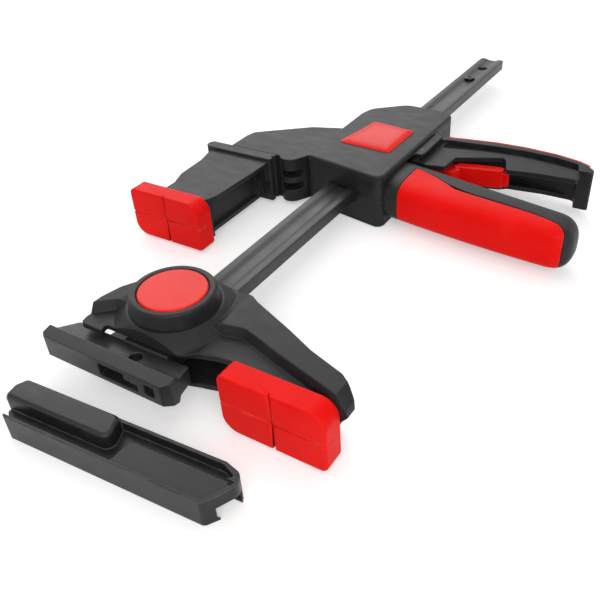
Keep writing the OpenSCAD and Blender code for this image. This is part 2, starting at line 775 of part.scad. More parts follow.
module lever_pin() {
    color(bright) on_carriage() drill([pivot_x, pivot_y], lever_pin_d, mid_z - body_h / 2, body_top);
}

// Back edge of the squeeze lever, from its root to its tip
function lever_back() = [[34, 82.8, 3], [42, 82.2, 12], [51.6, 84], [70.3, 86.8, 30], [89.2, 87.4, 40],
    [110.4, 85.4, 30], [124.7, 81.7, 20], [131, 78.7, 7], [136.6, 73.4, 5], [137.5, cap_front, 1.5]];

function lever_plan(front) = concat(front, [for (i = [len(lever_back()) - 1 : -1 : 0]) lever_back()[i]]);

function lever_root() = [[31.2, 62], [pivot_x - 7, pivot_y + 1, 5], [pivot_x - 6, pivot_y - 7.2, 5],
    [pivot_x + 4, pivot_y - 8.5, 4]];

module squeeze_lever() {
    h = lever_h / 2;
    inner = h - lever_wall - panel_drop;
    panel_front = [[40.2, 41.9, 2], [52.4, 44.4, 1], [53.6, 59.6, 2], [80.8, 72, 2], [83.6, 69.4, 1], [88.4, 56.4, 2],
        [103.2, 59.3], [130.6, 61.4, 1.5], [129.6, 73, 1]];
    low_front = [[48, 45, 4], [54, 66, 4], [80, 72.5, 3], [84, 75.6], [107, 78.4], [126.8, 78.3, 1.5],
        [128.6, cap_front, 1]];
    rim_front = [[34.5, 76.5], [42, 78.5, 10], [53.8, 79.6], [72.6, 82, 30], [91.5, 82.9, 40], [111.5, 81.6, 30],
        [126.4, 77.6, 3], [128.6, cap_front, 1]];
    color(black) on_carriage() difference() {
        union() {
            difference() {
                slab(lever_plan(concat(lever_root(), panel_front, [[128.6, cap_front + 4]])), mid_z + inner,
                    mid_z + h - panel_drop);
                // Groove between the raised panel and the rim
                slab([[39.4, 69.9, 2], [56, 73.9], [74.3, 77, 30], [94, 77.9, 40], [115.8, 75.3, 20],
                    [127.2, 73.6], [127.2, 78.6, 2], [111.5, 82.4, 30], [91.5, 83.7, 40], [72.6, 82.8, 30],
                    [53.8, 80.4], [40, 78.8, 2]],
                    mid_z + inner + 0.9, mid_z + h);
            }
            slab(lever_plan(concat(lever_root(), low_front)), mid_z - h, mid_z - h + lever_wall);
            slab(lever_plan(rim_front), mid_z - h, mid_z + h);
            // Full-height cap at the tip
            intersection() {
                slab(lever_plan([[34, 76.5], [60, 70], [128.6, cap_front, 1]]), mid_z - h, mid_z + h);
                box([128.6, cap_front - 5, mid_z - h - 1], [145, 90, mid_z + h + 1]);
            }
            for (side = [0, 1]) mirror_side(side) lever_nose();
        }
        drill([pivot_x, pivot_y], lever_pin_d + 2 * pin_gap, 0, 3 * mid_z);
    }
}

// A child as it is, or mirrored in the bar's mid-plane
module mirror_side(side) {
    if (side == 0) children();
    else below() children();
}

// Prong that pushes the drive plate, with the boss round the pin
module lever_nose() {
    low = mid_z + 7.2;
    tip = [nose_x, pivot_y - 1];
    union() {
        drill([pivot_x, pivot_y], 13, low, mid_z + lever_h / 2 - panel_drop);
        drill(tip, 2 * nose_r, mid_z + 8.2, mid_z + 11.5);
        slab([[tip[0], tip[1] - nose_r], [pivot_x, pivot_y - 5.5], [pivot_x, pivot_y + 5.5],
            [pivot_x - 11, tip[1] + nose_r - 0.4], [tip[0], tip[1] + nose_r - 0.2]], mid_z + 8.2, mid_z + 11.5);
    }
}

// Soft red strip along the back of the squeeze lever
module lever_strip() {
    t = 0.9;
    plan = lever_plan([[34, 79], [40, 70], [72, 79], [96, 78], [122, 74], [128.6, cap_front]]);
    color(red) on_carriage() difference() {
        intersection() {
            slab(grown(plan, t), mid_z - 10, mid_z + 11.6);
            slab([[38.5, 80], [72, 84], [96, 83], [124, 78.5], [132.5, 76.2], [137, 90], [38.5, 96]], 0, 50);
        }
        slab(plan, mid_z - 11, mid_z + 12);
    }
}

module release_lever() {
    h = release_h / 2;
    arm_h = 5;
    nose = release_nose;
    paddle = [[54.2, 55.9, 1], [84.6, 62.2, 1.5], [84.2, 66.6, 1.5], [81, 67.4], [55, 62.6, 1]];
    web = [[46, 50.5, 4], [54.2, 51, 1], [58, 56.8, 2], [84, 62.3, 1], [88.5, 62.6, 1.5], [88.2, 66, 1.5],
        [80, 67], [53, 63.5, 3], [46, 58.4, 4], [pivot_x, pivot_y + 5.8], [pivot_x, pivot_y - 5.8]];
    color(red) on_carriage() difference() {
        union() {
            slab(paddle, mid_z - h, mid_z + h);
            slab(web, mid_z - h + 1.6, mid_z + h - 1.6);
            drill([pivot_x, pivot_y], 11.6, mid_z - h + 1.6, mid_z + h - 1.6);
            drill(nose, 2 * release_nose_r, mid_z - arm_h, mid_z + arm_h);
            slab([[nose[0], nose[1] - release_nose_r], [half_w - 6, nose[1] - 2, 3], [half_w - 0.9, pivot_y - 8.7, 2],
                [pivot_x + 3, pivot_y - 5], [pivot_x - 4, pivot_y + 4], [half_w - 8.5, nose[1] + 5, 2],
                [half_w - 10, nose[1] + 2], [nose[0], nose[1] + 2.2]], mid_z - arm_h, mid_z + arm_h);
        }
        drill([pivot_x, pivot_y], lever_pin_d + 2 * pin_gap, 0, 3 * mid_z);
    }
}

// Gripping plates and their springs

// Hardened plate from x0 to x1 with a window for the bar, centred on y = 0
module grip_plate(x0, x1, gap) {
    h = cavity_half - 0.3;
    difference() {
        translate([0, plate_t / 2, mid_z]) rotate([90, 0, 0]) linear_extrude(plate_t)
            polygon(rounded([[x0, -h, 2], [x1, -h, 2], [x1, h, 2], [x0, h, 2]]));
        box([-bar_w / 2 - gap, -plate_t, mid_z - bar_t / 2 - gap],
            [bar_w / 2 + gap, plate_t, mid_z + bar_t / 2 + gap]);
    }
}

module drive_plate() {
    color(bright) on_carriage() translate([0, drive_front + plate_t / 2, 0])
        grip_plate(plate_left, plate_right, bar_gap);
}

module brake_plate() {
    color(bright) on_carriage() translate([plate_left, brake_y, 0]) rotate([0, 0, -brake_deg])
        translate([-plate_left, 0, 0]) grip_plate(plate_left, plate_right, bar_gap + 0.2);
}

module drive_spring() {
    from = drive_front + plate_t + 0.1;
    color(steel) on_carriage() translate([0, from, mid_z])
        coil(cavity_back - 0.1 - from, (corner_r + cavity_half) / 2, drive_wire, 6);
}

module brake_spring() {
    color(steel) on_carriage() translate([brake_spring_x, brake_spring_from, mid_z - bar_t / 2 - 4.8])
        coil(brake_rib_y - 0.1 - brake_spring_from, 2.4, 0.8, 4);
}

// Clip strip

module strip_body() {
    back = strip_w;
    rim = 1.5;
    tray_floor = channel_d + 1.6;
    band_floor = strip_h - 1.7;
    band_back = 14.6;
    block_w = 14;
    end = strip_len;
    difference() {
        union() {
            difference() {
                slab([[1.6, 0, 1.5], [end - 8.5, 0, 3], [end - 4.6, 5.4, 8], [end, 14, 5], [end - 2.5, back - 2.5, 4],
                    [end - 10.5, back, 6], [-2, back, 2], [-4, back - 5, 2], [-2.5, 6, 2], [1.2, 3, 1]], 0, strip_h);
                // Deep slot round the block and behind the band
                slab([[-10, rim], [block_len + 4, rim, 2], [block_len + 5, band_back, 4], [end - 6.5, band_back, 2],
                    [end - 3.2, back - 5, 1.2], [end - 11, back - rim, 5], [block_len - 14, back - rim],
                    [block_len - 14, back + 1], [-10, back + 1]], tray_floor, strip_h + 1);
                slab([[block_len + 3, rim], [end - 10, rim, 2], [end - 6.4, 6, 7], [end - 2.4, 13.5, 1],
                    [end - 2.2, band_back + 0.2], [block_len + 3, band_back + 0.2]], band_floor, strip_h + 1);
            }
            loft([for (level = [[0, tray_floor - 0.5], [0, block_h - 2.2], [0.8, block_h - 0.7], [2, block_h]])
                ring(rounded(grown(block_plan(back, block_w), -level[0])), level[1])]);
        }
        // Dovetail channel for the rail
        translate([-20, (strip_w - channel_w) / 2, 0]) rotate([90, 0, 90]) linear_extrude(strip_len + 40)
            polygon([[1, -1], [channel_w - 1, -1], [channel_w - 1, 1.2], [channel_w, 2.4], [channel_w, channel_d],
                [0, channel_d], [0, 2.4], [1, 1.2]]);
    }
}

function block_plan(back, w) = [[-5, back - w, 3], [block_len, back - w, 4], [block_len - 5, back - 0.3, 4],
    [-3, back - 0.3, 2.5], [-6, back - 6, 2.5]];

module clip_strip() {
    color(black) translate([strip_at[0], strip_at[1], 0]) rotate([0, 0, strip_turn]) strip_body();
}

bar();
bar_stop_pin();
end_rail();
rail_pins();
swivel_pin();
swivel_washers();
swivel_clip();
head_upper_shell();
head_lower_shell();
head_screws();
knob_ring();
swivel_button();
button_spring();
near_pad();
body_upper_shell();
body_lower_shell();
body_screws();
top_cover();
bottom_cover();
badge();
pad_extension();
far_pad();
handle_core();
handle_grip();
lever_pin();
squeeze_lever();
lever_strip();
release_lever();
drive_plate();
drive_spring();
brake_plate();
brake_spring();
clip_strip();
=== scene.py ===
# Bar clamp with swivel head, end rail and loose clip strip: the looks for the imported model.
import math

import bmesh
import bpy
from mathutils import Matrix, Vector


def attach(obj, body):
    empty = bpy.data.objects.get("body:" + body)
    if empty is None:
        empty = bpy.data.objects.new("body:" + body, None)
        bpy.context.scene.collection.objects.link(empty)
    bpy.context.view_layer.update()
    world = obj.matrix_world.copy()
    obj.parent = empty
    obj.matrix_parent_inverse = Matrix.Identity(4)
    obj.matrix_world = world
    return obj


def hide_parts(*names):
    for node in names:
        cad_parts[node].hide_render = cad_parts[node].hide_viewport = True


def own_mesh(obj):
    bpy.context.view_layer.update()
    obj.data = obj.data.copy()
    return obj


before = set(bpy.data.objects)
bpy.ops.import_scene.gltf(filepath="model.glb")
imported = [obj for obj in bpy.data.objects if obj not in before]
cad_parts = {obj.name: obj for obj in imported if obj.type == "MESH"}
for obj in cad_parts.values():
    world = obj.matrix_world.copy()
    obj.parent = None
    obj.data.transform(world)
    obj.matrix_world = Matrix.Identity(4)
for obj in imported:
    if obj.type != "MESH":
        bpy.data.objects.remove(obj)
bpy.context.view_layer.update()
scene = bpy.context.scene
mm = 0.001
midZ = 17.75  # height of the bar's middle above the table, in mm
print("frame loaded:", len(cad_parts), "nodes")

# Camera, where the photographer stood, turned by degrees
view = {"lens": 43.24, "sensor": 36, "at": (0.2112, -0.1958, 0.2353), "turned": (53.773, 3.509, 32.596),
        "nearest": 0.01, "farthest": 30}
cameraData = bpy.data.cameras.new("camera")
cameraData.lens = view["lens"]
cameraData.sensor_width = view["sensor"]
cameraData.clip_start = view["nearest"]
cameraData.clip_end = view["farthest"]
camera = bpy.data.objects.new("camera", cameraData)
camera.location = view["at"]
camera.rotation_euler = [math.radians(angle) for angle in view["turned"]]
scene.collection.objects.link(camera)
scene.camera = camera


# Node helpers

def addNode(tree, kind, **settings):
    made = tree.nodes.new(kind)
    for key, value in settings.items():
        setattr(made, key, value)
    return made


def addMath(tree, operation, first, second):
    made = addNode(tree, "ShaderNodeMath", operation=operation, use_clamp=True)
    for socket, value in enumerate((first, second)):
        if isinstance(value, (int, float)):
            made.inputs[socket].default_value = value
        else:
            tree.links.new(value, made.inputs[socket])
    return made.outputs[0]


def addRange(tree, value, low, high, toLow, toHigh):
    made = addNode(tree, "ShaderNodeMapRange")
    tree.links.new(value, made.inputs["Value"])
    for name, number in (("From Min", low), ("From Max", high), ("To Min", toLow), ("To Max", toHigh)):
        made.inputs[name].default_value = number
    return made.outputs["Result"]


# Sockets 6 and 7 of a Mix node are its two colours, and its output 2 is the blend
def addBlend(tree, amount, first, second):
    made = addNode(tree, "ShaderNodeMix", data_type="RGBA")
    tree.links.new(amount, made.inputs["Factor"])
    for socket, value in ((6, first), (7, second)):
        if isinstance(value, tuple):
            made.inputs[socket].default_value = (*value, 1)
        else:
            tree.links.new(value, made.inputs[socket])
    return made.outputs[2]


def addNoise(tree, vector, scale, detail, roughness=0.5):
    made = addNode(tree, "ShaderNodeTexNoise")
    made.inputs["Detail"].default_value = detail
    made.inputs["Roughness"].default_value = roughness
    if isinstance(scale, (int, float)):
        made.inputs["Scale"].default_value = scale
    else:
        tree.links.new(scale, made.inputs["Scale"])
    tree.links.new(vector, made.inputs["Vector"])
    return made.outputs["Fac"]


def addMapping(tree, vector, scale, rotation=(0, 0, 0)):
    made = addNode(tree, "ShaderNodeMapping")
    made.inputs["Scale"].default_value = scale
    made.inputs["Rotation"].default_value = rotation
    tree.links.new(vector, made.inputs["Vector"])
    return made.outputs["Vector"]


# A group with its value inputs, value outputs and normal outputs
def newGroup(name, inputs, outputs, normals=()):
    group = bpy.data.node_groups.new(name, "ShaderNodeTree")
    for label, value in inputs:
        made = group.interface.new_socket(label, in_out="INPUT", socket_type="NodeSocketFloat")
        made.default_value = value
    for label in outputs:
        group.interface.new_socket(label, in_out="OUTPUT", socket_type="NodeSocketFloat")
    for label in normals:
        group.interface.new_socket(label, in_out="OUTPUT", socket_type="NodeSocketVector")
    return group, addNode(group, "NodeGroupInput"), addNode(group, "NodeGroupOutput")


# Rubbed edges and painted edge highlights: a lighter edge mask where the rounded normal leaves the true one,
# broken up by a noise
def buildEdgeGroup():
    edgeMarkSettings = {"radius": 0.6 * mm, "breakup": 160, "unmarkedLikeness": 0.995, "wearAndHighlight": 0.86, "leastWearAndHighlight": 0.35}
    group, given, result = newGroup("rubbedAndHighlightedEdges", [("Radius", edgeMarkSettings["radius"]), ("Breakup", edgeMarkSettings["breakup"])],
                                    ["Mask"], ["Normal"])
    rounded = addNode(group, "ShaderNodeBevel", samples=6)
    group.links.new(given.outputs["Radius"], rounded.inputs["Radius"])
    surface = addNode(group, "ShaderNodeNewGeometry")
    likeness = addNode(group, "ShaderNodeVectorMath", operation="DOT_PRODUCT")
    group.links.new(rounded.outputs["Normal"], likeness.inputs[0])
    group.links.new(surface.outputs["Normal"], likeness.inputs[1])
    edge = addRange(group, likeness.outputs["Value"], edgeMarkSettings["unmarkedLikeness"], edgeMarkSettings["wearAndHighlight"], 0, 1)
    coords = addNode(group, "ShaderNodeTexCoord")
    patches = addNoise(group, coords.outputs["Object"], given.outputs["Breakup"], 3)
    uneven = addRange(group, patches, 0.38, 0.6, edgeMarkSettings["leastWearAndHighlight"], 1)
    group.links.new(addMath(group, "MULTIPLY", edge, uneven), result.inputs["Mask"])
    group.links.new(rounded.outputs["Normal"], result.inputs["Normal"])
    return group


# Broad tone, hand marks and the fine sparked texture of a mould
def buildMouldGroup():
    marks = {"scale": 75, "stretch": (1, 2.6, 1.4), "turn": (0.3, 0.2, 0.7), "pitDepth": 0.4}
    group, given, result = newGroup("mouldSurface", [("Patch Scale", 28), ("Grain Scale", 1900)],
                                    ["Tone", "Marks", "Grain"])
    coords = addNode(group, "ShaderNodeTexCoord").outputs["Object"]
    broad = addNoise(group, coords, given.outputs["Patch Scale"], 4, 0.6)
    group.links.new(addRange(group, broad, 0.3, 0.7, 0, 1), result.inputs["Tone"])
    stretched = addMapping(group, coords, marks["stretch"], marks["turn"])
    smears = addNoise(group, stretched, marks["scale"], 5, 0.65)
    group.links.new(addRange(group, smears, 0.35, 0.7, 0, 1), result.inputs["Marks"])
    fine = addNoise(group, coords, given.outputs["Grain Scale"], 2)
    cells = addNode(group, "ShaderNodeTexVoronoi", feature="F1")
    group.links.new(coords, cells.inputs["Vector"])
    group.links.new(given.outputs["Grain Scale"], cells.inputs["Scale"])
    pits = addRange(group, cells.outputs["Distance"], 0, 0.7, 0, marks["pitDepth"])
    group.links.new(addMath(group, "ADD", fine, pits), result.inputs["Grain"])
    return group


# Drawn or ground steel: long streaks along Y and light scratches
def buildSteelGroup():
    marks = {"streakStretch": (1, 0.018, 1), "stainScale": 42, "scratchScale": 2400,
             "scratchStretch": (1, 0.05, 1), "scratchTurn": (0, 0, 0.35)}
    group, given, result = newGroup("drawnSteel", [("Streak Scale", 900)], ["Streaks", "Stains", "Scratches"])
    coords = addNode(group, "ShaderNodeTexCoord").outputs["Object"]
    along = addMapping(group, coords, marks["streakStretch"])
    streaks = addNoise(group, along, given.outputs["Streak Scale"], 3, 0.6)
    group.links.new(addRange(group, streaks, 0.3, 0.7, 0, 1), result.inputs["Streaks"])
    stains = addNoise(group, coords, marks["stainScale"], 5, 0.6)
    group.links.new(addRange(group, stains, 0.35, 0.7, 0, 1), result.inputs["Stains"])
    slanted = addMapping(group, coords, marks["scratchStretch"], marks["scratchTurn"])
    scratches = addNoise(group, slanted, marks["scratchScale"], 1)
    group.links.new(addRange(group, scratches, 0.66, 0.74, 0, 1), result.inputs["Scratches"])
    return group


edgeGroup = buildEdgeGroup()
mouldGroup = buildMouldGroup()
steelGroup = buildSteelGroup()


# Places a group and sets its inputs, whose names have a blank for each _ here
def useGroup(tree, group, **values):
    made = addNode(tree, "ShaderNodeGroup", node_tree=group)
    for name, value in values.items():
        made.inputs[name.replace("_", " ")].default_value = value
    return made.outputs


def startMaterial(name):
    material = bpy.data.materials.new(name)
    material.use_nodes = True
    tree = material.node_tree
    return material, tree, tree.nodes["Principled BSDF"]


def addBump(tree, shader, height, strength, distance, normal):
    bump = addNode(tree, "ShaderNodeBump")
    tree.links.new(normal, bump.inputs["Normal"])
    bump.inputs["Strength"].default_value = strength
    bump.inputs["Distance"].default_value = distance
    tree.links.new(height, bump.inputs["Height"])
    tree.links.new(bump.outputs["Normal"], shader.inputs["Normal"])


# Moulded plastic, rubber or paint
def mouldedMaterial(spec):
    material, tree, shader = startMaterial(spec["name"])
    surface = useGroup(tree, mouldGroup, Patch_Scale=spec["patches"], Grain_Scale=spec["grain"])
    edges = useGroup(tree, edgeGroup, Radius=spec["edge"] * mm, Breakup=160)
    body = addBlend(tree, surface["Tone"], spec["deep"], spec["plain"])
    dust = addRange(tree, surface["Marks"], 0.45, 1, 0, spec["dust"])
    dusty = addBlend(tree, dust, body, spec["pale"])
    # The edges lighten toward the wear-and-highlight colour: partly real rubbing, partly a painted highlight
    # along them
    wearAndHighlight = addBlend(tree, addMath(tree, "MULTIPLY", edges["Mask"], spec["edgeRubAndHighlight"]), dusty, spec["wearAndHighlight"])
    tree.links.new(wearAndHighlight, shader.inputs["Base Color"])
    rough = addRange(tree, surface["Marks"], 0, 1, *spec["roughness"])
    tree.links.new(rough, shader.inputs["Roughness"])
    shader.inputs["Specular IOR Level"].default_value = spec["specular"]
    shader.inputs["Sheen Weight"].default_value = spec["sheen"]
    shader.inputs["Sheen Roughness"].default_value = 0.4
    addBump(tree, shader, surface["Grain"], spec["bump"], 0.00012, edges["Normal"])
    return material


# Drawn, blackened or polished steel
def steelMaterial(spec):
    material, tree, shader = startMaterial(spec["name"])
    surface = useGroup(tree, steelGroup, Streak_Scale=spec["streaks"])
    edges = useGroup(tree, edgeGroup, Radius=spec["edge"] * mm, Breakup=210)
    body = addBlend(tree, surface["Streaks"], spec["deep"], spec["plain"])
    blotches = addRange(tree, surface["Stains"], 0.4, 1, 0, spec["stain"])
    stained = addBlend(tree, blotches, body, spec["stained"])
    scored = addBlend(tree, addMath(tree, "MULTIPLY", surface["Scratches"], 0.4), stained, spec["wearAndHighlight"])
    wearAndHighlight = addBlend(tree, addMath(tree, "MULTIPLY", edges["Mask"], spec["edgeRubAndHighlight"]), scored, spec["wearAndHighlight"])
    tree.links.new(wearAndHighlight, shader.inputs["Base Color"])
    rough = addRange(tree, surface["Stains"], 0, 1, *spec["roughness"])
    tree.links.new(rough, shader.inputs["Roughness"])
    shader.inputs["Metallic"].default_value = spec["metallic"]
    addBump(tree, shader, surface["Streaks"], spec["bump"], 0.00008, edges["Normal"])
    return material


charcoal = mouldedMaterial({"name": "charcoalPlastic", "deep": (0.0095, 0.0097, 0.0105),
                            "plain": (0.014, 0.0142, 0.0152), "pale": (0.042, 0.042, 0.043),
                            "wearAndHighlight": (0.115, 0.115, 0.12), "patches": 26, "grain": 1900, "edge": 0.8,
                            "dust": 0.3, "edgeRubAndHighlight": 0.42, "roughness": (0.4, 0.54), "specular": 0.22,
                            "sheen": 0.03, "bump": 0.3})
railPaint = mouldedMaterial({"name": "blackEnamel", "deep": (0.012, 0.0122, 0.013),
                             "plain": (0.02, 0.0202, 0.021), "pale": (0.06, 0.059, 0.058),
                             "wearAndHighlight": (0.14, 0.138, 0.135), "patches": 34, "grain": 1300, "edge": 0.6,
                             "dust": 0.3, "edgeRubAndHighlight": 0.6, "roughness": (0.34, 0.48), "specular": 0.36,
                             "sheen": 0, "bump": 0.18})
# Its pale edge colour and strong edge rub paint bright highlights along the strip's rims, on top of real wear
stripPlastic = mouldedMaterial({"name": "stripPlastic", "deep": (0.0095, 0.0097, 0.011),
                                "plain": (0.0145, 0.0148, 0.0165), "pale": (0.042, 0.042, 0.044),
                                "wearAndHighlight": (0.2, 0.2, 0.206), "patches": 30, "grain": 1700, "edge": 0.9,
                                "dust": 0.3, "edgeRubAndHighlight": 0.7, "roughness": (0.3, 0.44), "specular": 0.28,
                                "sheen": 0, "bump": 0.26})
# The pink edge colour of the red rubber and red plastic paints a highlight line along their rounded edges, on
# top of real wear
redGrip = mouldedMaterial({"name": "redRubber", "deep": (0.76, 0.003, 0.002),
                           "plain": (0.88, 0.006, 0.004), "pale": (0.9, 0.025, 0.016),
                           "wearAndHighlight": (0.95, 0.2, 0.15), "patches": 24, "grain": 1500, "edge": 1,
                           "dust": 0.22, "edgeRubAndHighlight": 0.6, "roughness": (0.4, 0.54), "specular": 0.09,
                           "sheen": 0.02, "bump": 0.26})
redCap = mouldedMaterial({"name": "redPlastic", "deep": (0.76, 0.015, 0.009),
                          "plain": (0.86, 0.022, 0.014), "pale": (0.88, 0.07, 0.045),
                          "wearAndHighlight": (0.94, 0.2, 0.15), "patches": 40, "grain": 2300, "edge": 0.5,
                          "dust": 0.2, "edgeRubAndHighlight": 0.4, "roughness": (0.32, 0.44), "specular": 0.2, "sheen": 0,
                          "bump": 0.14})
darkSteel = steelMaterial({"name": "darkSteel", "deep": (0.022, 0.0224, 0.0236),
                           "plain": (0.042, 0.0428, 0.045), "stained": (0.03, 0.0285, 0.028),
                           "wearAndHighlight": (0.16, 0.16, 0.162), "streaks": 700, "edge": 0.6, "stain": 0.4,
                           "edgeRubAndHighlight": 0.45, "metallic": 0.5, "roughness": (0.36, 0.46), "bump": 0.25})
# The pink edge colour paints a highlight line along the badge's edges, on top of real wear
redGloss = mouldedMaterial({"name": "redLacquer", "deep": (0.72, 0.012, 0.008),
                            "plain": (0.8, 0.017, 0.011), "pale": (0.82, 0.05, 0.035),
                            "wearAndHighlight": (0.9, 0.2, 0.15), "patches": 30, "grain": 900, "edge": 0.6,
                            "dust": 0.12, "edgeRubAndHighlight": 0.5, "roughness": (0.16, 0.24), "specular": 0.08,
                            "sheen": 0, "bump": 0.05})
brightSteel = steelMaterial({"name": "brightSteel", "deep": (0.42, 0.425, 0.43),
                             "plain": (0.58, 0.585, 0.59), "stained": (0.3, 0.28, 0.25),
                             "wearAndHighlight": (0.75, 0.75, 0.75), "streaks": 1500, "edge": 0.3, "stain": 0.4,
                             "edgeRubAndHighlight": 0.4, "metallic": 1, "roughness": (0.24, 0.38), "bump": 0.15})
pinSteel = steelMaterial({"name": "pinSteel", "deep": (0.03, 0.03, 0.031), "plain": (0.06, 0.06, 0.061),
                          "stained": (0.045, 0.043, 0.04), "wearAndHighlight": (0.5, 0.5, 0.5), "streaks": 1500,
                          "edge": 0.3, "stain": 0.4, "edgeRubAndHighlight": 0.4, "metallic": 1, "roughness": (0.16, 0.26),
                          "bump": 0.15})
print("materials made:", len(bpy.data.materials))


# Mesh helpers, with lengths given in mm

# Puts the finished mesh into the scene in place of its CAD nodes, with its wall and softened edges
def place(spec, shape):
    bmesh.ops.recalc_face_normals(shape, faces=shape.faces)
    mesh = bpy.data.meshes.new(spec["name"])
    shape.to_mesh(mesh)
    shape.free()
    for face in mesh.polygons:
        face.use_smooth = True
    mesh.materials.append(spec["material"])
    piece = bpy.data.objects.new(spec["name"], mesh)
    scene.collection.objects.link(piece)
    if spec.get("wall"):
        thicken = piece.modifiers.new("wall", "SOLIDIFY")
        thicken.thickness = spec["wall"] * mm
        thicken.offset = -1
    if spec.get("edge"):
        soften = piece.modifiers.new("edges", "BEVEL")
        soften.width = spec["edge"] * mm
        soften.segments = spec.get("steps", 3)
        soften.limit_method = "WEIGHT" if spec.get("weighted") else "ANGLE"
        soften.angle_limit = math.radians(spec.get("from", 30))
        soften.use_clamp_overlap = False
    flatten = piece.modifiers.new("normals", "WEIGHTED_NORMAL")
    flatten.keep_sharp = True
    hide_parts(*spec["nodes"])
    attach(piece, spec["body"])
    return piece


# A CAD node's own mesh, with its doubled points joined and the triangles of each flat made one face
def mergedCopy(node):
    shape = bmesh.new()
    shape.from_mesh(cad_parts[node].data)
    bmesh.ops.remove_doubles(shape, verts=shape.verts, dist=0.003 * mm)
    bmesh.ops.dissolve_limit(shape, angle_limit=math.radians(0.7), use_dissolve_boundaries=False,
                             verts=shape.verts, edges=shape.edges)
    bmesh.ops.dissolve_degenerate(shape, dist=0.12 * mm, edges=shape.edges)
    return shape


# A CAD node with its edges rounded by the width given
def softened(node, body, slot, material, edge):
    spec = {"name": node + ".looks", "nodes": [node], "body": body, "slot": slot, "material": material,
            "edge": edge}
    place(spec, mergedCopy(node))


# Gives a CAD node that stays as it is a better material
def lookOf(node, material):
    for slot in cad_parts[node].material_slots:
        slot.material = material


# Rows of points strung together and bridged, each row closed on itself or open
def skin(shape, rows, closed):
    strings = []
    for row in rows:
        points = [shape.verts.new(p) for p in row]
        following = points[1:] + points[:1] if closed else points[1:]
        strings.append([shape.edges.new(pair) for pair in zip(points, following)])
    for low, high in zip(strings, strings[1:]):
        bmesh.ops.bridge_loops(shape, edges=low + high)
    return strings


# Cuts one closed shape out of another and hands back what is left
def carve(shape, cutter):
    parts = []
    for name, solid in (("blank", shape), ("cutter", cutter)):
        bmesh.ops.recalc_face_normals(solid, faces=solid.faces)
        mesh = bpy.data.meshes.new(name)
        solid.to_mesh(mesh)
        solid.free()
        parts.append(bpy.data.objects.new(name, mesh))
        scene.collection.objects.link(parts[-1])
    cut = parts[0].modifiers.new("cut", "BOOLEAN")
    cut.operation = "DIFFERENCE"
    cut.solver = "EXACT"
    cut.object = parts[1]
    bpy.context.view_layer.update()
    left = bmesh.new()
    left.from_mesh(parts[0].evaluated_get(bpy.context.evaluated_depsgraph_get()).to_mesh())
    for used in parts:
        bpy.data.objects.remove(used)
    bmesh.ops.remove_doubles(left, verts=left.verts, dist=0.002 * mm)
    return left


# A box between two corners in millimetres
def boxBetween(low, high):
    shape = bmesh.new()
    size = [b - a for a, b in zip(low, high)]
    middle = [(a + b) / 2 for a, b in zip(low, high)]
    fit = Matrix.Translation(Vector(middle) * mm) @ Matrix.Diagonal((*[c * mm for c in size], 1))
    bmesh.ops.create_cube(shape, size=1, matrix=fit)
    return shape


# An upright round drill bit at (x, y)
def drillBit(x, y, wide):
    shape = bmesh.new()
    longEnough = 60 * mm
    bmesh.ops.create_cone(shape, cap_ends=True, segments=64, radius1=wide / 2 * mm, radius2=wide / 2 * mm,
                          depth=longEnough, matrix=Matrix.Translation(Vector((x, y, midZ)) * mm))
    return shape


def bevelEdges(shape, edges, offset, segments):
    bmesh.ops.bevel(shape, geom=edges, offset=offset * mm, affect="EDGES", segments=segments, profile=0.5,
                    material=-1)


# Bar: a drawn section with a smooth dish in both wide faces
bar = {"name": "bar.looks", "nodes": ["bar"], "body": "bar", "slot": "dark_steel", "material": darkSteel,
       "edge": 0.35, "from": 38, "wide": 20.5, "thick": 7.5, "low": -21, "high": 425, "endRound": 2,
       "dish": 1.2, "dishFlat": 1.6, "dishSlope": 5.3, "sideRound": 0.7, "sideFall": 0.9,
       "holes": ((0, 402, 8), (0, 0, 8))}


def barHeight(x):
    across = min(1, max(0, (abs(x) - bar["dishFlat"]) / bar["dishSlope"]))
    dish = bar["dish"] * (1 - across * across * (3 - 2 * across))
    return bar["thick"] / 2 - dish


# The section at y: close points near the sides, even ones over the dish
def barRow(y):
    halfWide, endRound = bar["wide"] / 2, bar["endRound"]
    past = max(0, y - (bar["high"] - endRound))
    half = halfWide - endRound + math.sqrt(max(0, endRound ** 2 - past * past))
    nearSide = [0.76, 0.84, 0.92, 0.96, 0.985, 1]
    shares = [-share for share in reversed(nearSide)] + [i / 12 for i in range(-8, 9)] + nearSide
    top = []
    for share in shares:
        x = share * halfWide
        drop = max(0, abs(x) - (halfWide - bar["sideRound"]))
        top.append((min(half, max(-half, x)), barHeight(x) - drop * drop / bar["sideFall"]))
    ring = top + [(x, -z) for x, z in reversed(top)]
    return [Vector((x, y, midZ + z)) * mm for x, z in ring]


barShape = bmesh.new()
barStations = [bar["low"], -10, 10, 60, 120, 180, 240, 300, 360, 385, 415, 423]
barStations += [bar["high"] - bar["endRound"] + bar["endRound"] * math.sin(math.radians(angle))
                for angle in (20, 40, 60, 75, 84)]
barRows = skin(barShape, [barRow(y) for y in barStations], True)
for ending in (barRows[0], barRows[-1]):
    bmesh.ops.edgeloop_fill(barShape, edges=ending)
for hole in bar["holes"]:
    barShape = carve(barShape, drillBit(*hole))
place(bar, barShape)
softened("bar_stop_pin", "bar", "bright_steel", pinSteel, 0.25)
softened("end_rail", "bar", "dark_steel", railPaint, 0.35)
for node in ("rail_pins", "swivel_pin", "swivel_washers", "swivel_clip", "head_screws", "body_screws",
             "drive_plate", "brake_plate"):
    lookOf(node, brightSteel)
lookOf("lever_pin", darkSteel)
print("bar done")

